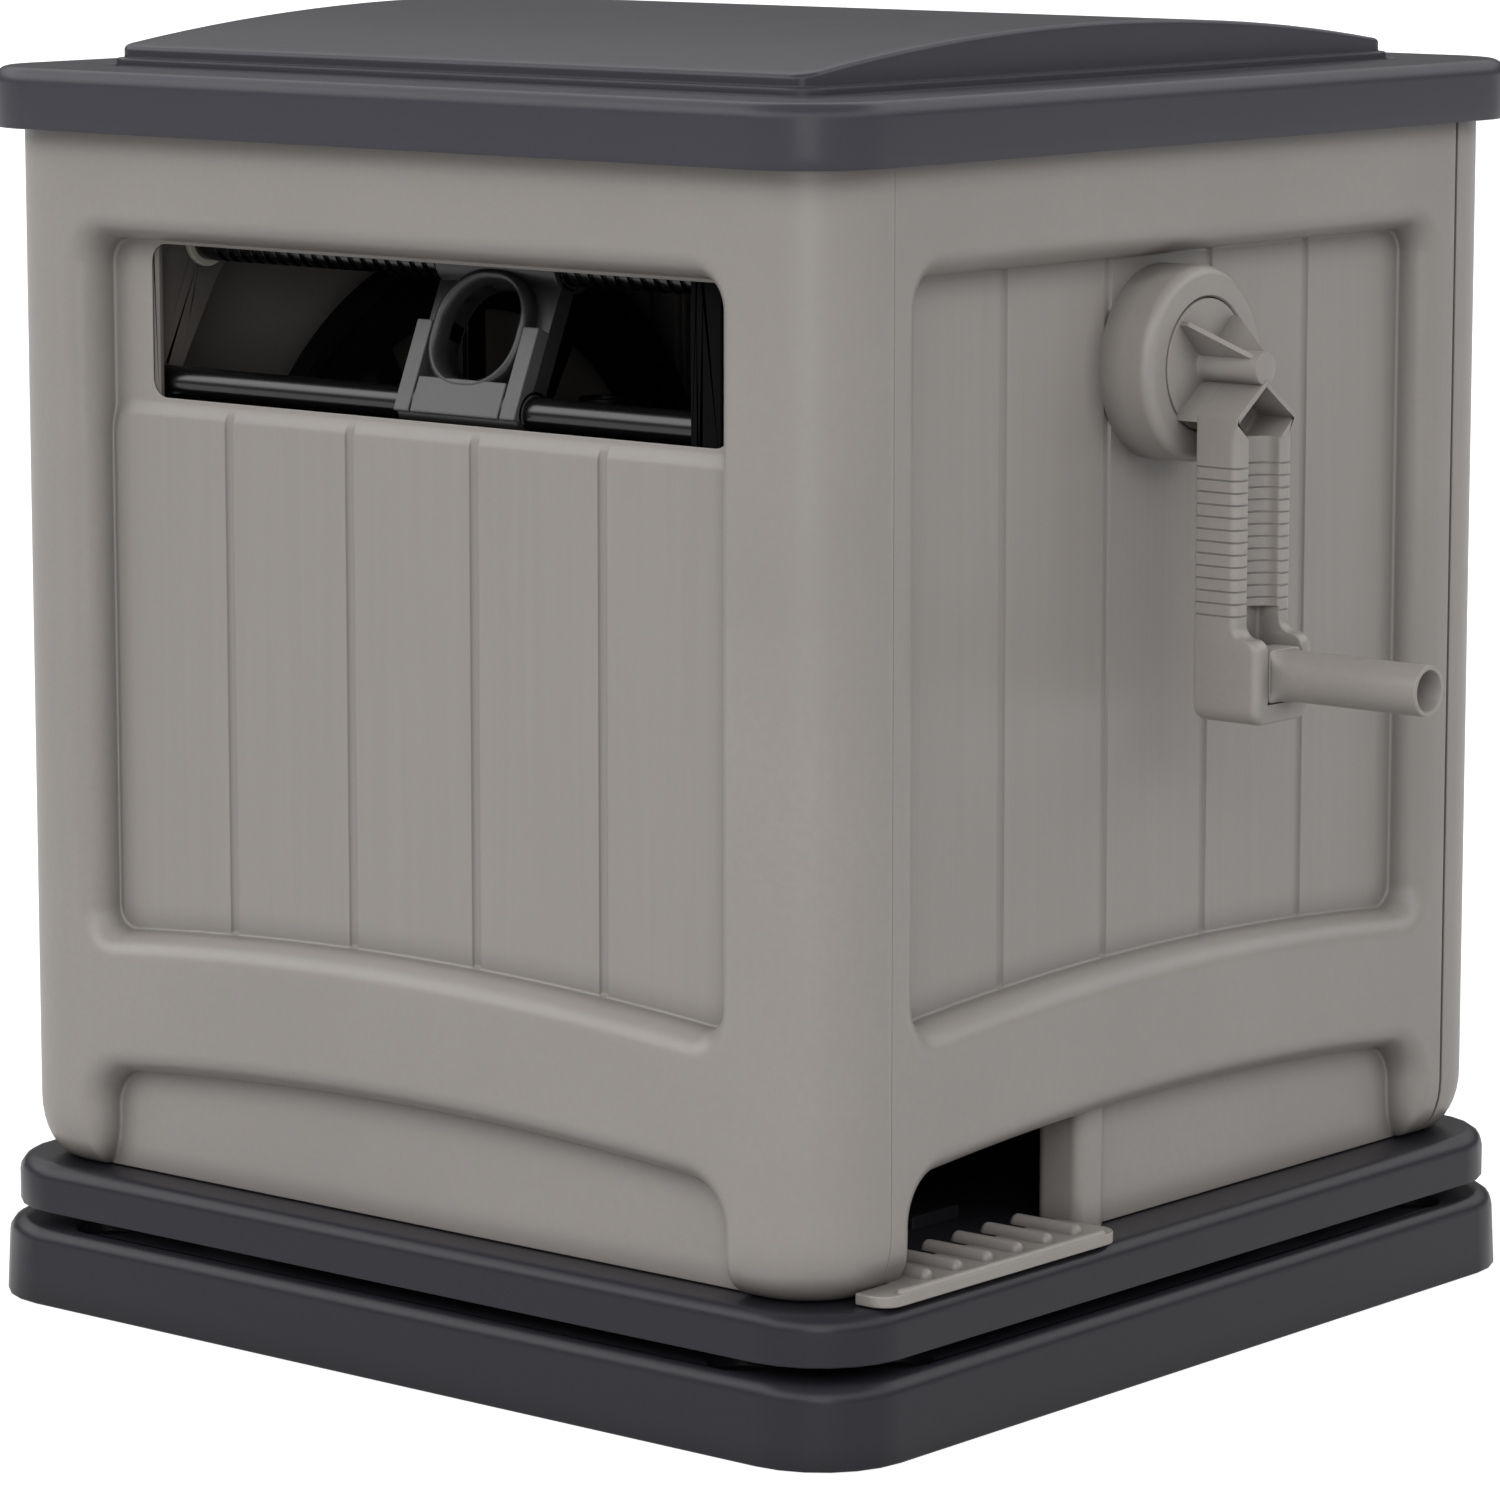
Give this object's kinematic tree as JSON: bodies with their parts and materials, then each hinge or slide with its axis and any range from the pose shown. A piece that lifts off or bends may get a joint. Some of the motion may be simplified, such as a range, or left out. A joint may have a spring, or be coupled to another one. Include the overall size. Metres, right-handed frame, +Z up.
{
  "type": "hose reel box",
  "caption": "Square garden hose reel box on a swivel base, with plank-panelled sides, hinged lid, side crank with a folding grip, geared reel and level-wind hose guide.",
  "frame": {"origin": "middle of the base plate's underside, on the floor", "axes": "+Z up; -Y is the front with the hose slot; +X is the side with the crank"},
  "size_m": [0.6806, 0.5772, 0.6355],
  "materials": {
    "taupe_plastic": "matte",
    "dark_plastic": "matte",
    "black_plastic": "satin",
    "pale_plastic": "satin",
    "rubber": "matte",
    "steel": "satin"
  },
  "bodies": {
    "base": {"lower_base": "dark_plastic", "pivot_bolt": "steel", "pivot_washer": "steel", "pivot_nut": "steel"},
    "ball_ring": {"ball_cage": "pale_plastic", "bearing_balls": "steel"},
    "cabinet": {"swivel_plate": "dark_plastic", "swivel_bush": "pale_plastic", "foot_screws": "steel", "front_panel": "taupe_plastic", "rear_panel": "taupe_plastic", "left_panel": "taupe_plastic", "right_panel": "taupe_plastic", "panel_screws": "steel", "hinge_pins": "steel", "crank_housing": "taupe_plastic", "housing_screws": "steel", "crank_bush": "pale_plastic", "right_bearing": "pale_plastic", "inlet_spindle": "black_plastic", "inlet_seals": "rubber", "idler_axle": "steel", "idler_clip": "steel", "guide_rod": "black_plastic", "left_bracket": "black_plastic", "right_bracket": "black_plastic", "bracket_screws": "steel", "bracket_bushes": "pale_plastic"},
    "lid": {"lid": "dark_plastic"},
    "crank": {"crank_shaft": "steel", "crank_pinion": "black_plastic", "crank_screw": "steel", "crank_arm": "taupe_plastic", "grip_pin": "steel"},
    "grip": {"crank_grip": "taupe_plastic"},
    "reel": {"reel_drum": "black_plastic", "left_flange": "black_plastic", "right_flange": "black_plastic", "tie_screws": "steel", "reel_gear": "black_plastic", "gear_screws": "steel", "left_bush": "pale_plastic", "supply_tube": "black_plastic", "outlet_fitting": "black_plastic"},
    "idler": {"idler_gear": "black_plastic"},
    "winder": {"lead_screw": "black_plastic", "screw_gear": "black_plastic"},
    "guide": {"hose_guide": "dark_plastic", "track_follower": "pale_plastic"}
  },
  "joints": [
    {"name": "swivel", "type": "hinge", "parent": "base", "child": "cabinet", "pos_m": [0, 0, 0.07], "axis": [0, 0, 1], "continuous": true},
    {"name": "ball_roll", "type": "hinge", "parent": "base", "child": "ball_ring", "pos_m": [0, 0, 0.0425], "axis": [0, 0, 1], "continuous": true},
    {"name": "lid_hinge", "type": "hinge", "parent": "cabinet", "child": "lid", "pos_m": [0, 0.28825, 0.5718], "axis": [-1, 0, 0], "range_deg": [0, 105]},
    {"name": "reel_spin", "type": "hinge", "parent": "cabinet", "child": "reel", "pos_m": [0, 0, 0.338], "axis": [1, 0, 0], "continuous": true},
    {"name": "crank_spin", "type": "hinge", "parent": "cabinet", "child": "crank", "pos_m": [0.25, 0, 0.478], "axis": [1, 0, 0], "continuous": true},
    {"name": "grip_fold", "type": "hinge", "parent": "crank", "child": "grip", "pos_m": [0.3076, 0, 0.336], "axis": [0, -1, 0], "range_deg": [0, 90]},
    {"name": "idler_spin", "type": "hinge", "parent": "cabinet", "child": "idler", "pos_m": [0.198, -0.1071, 0.4919], "axis": [1, 0, 0], "continuous": true},
    {"name": "winder_spin", "type": "hinge", "parent": "cabinet", "child": "winder", "pos_m": [0, -0.205, 0.527], "axis": [1, 0, 0], "continuous": true},
    {"name": "guide_slide", "type": "slide", "parent": "cabinet", "child": "guide", "axis": [1, 0, 0], "range_m": [-0.153, 0.105]}
  ],
  "couplings": [
    {"joint": "ball_roll", "follows": "swivel", "ratio": 0.5},
    {"joint": "crank_spin", "follows": "reel_spin", "ratio": -2.5},
    {"joint": "idler_spin", "follows": "reel_spin", "ratio": 1.4706},
    {"joint": "winder_spin", "follows": "reel_spin", "ratio": -2.7778}
  ]
}
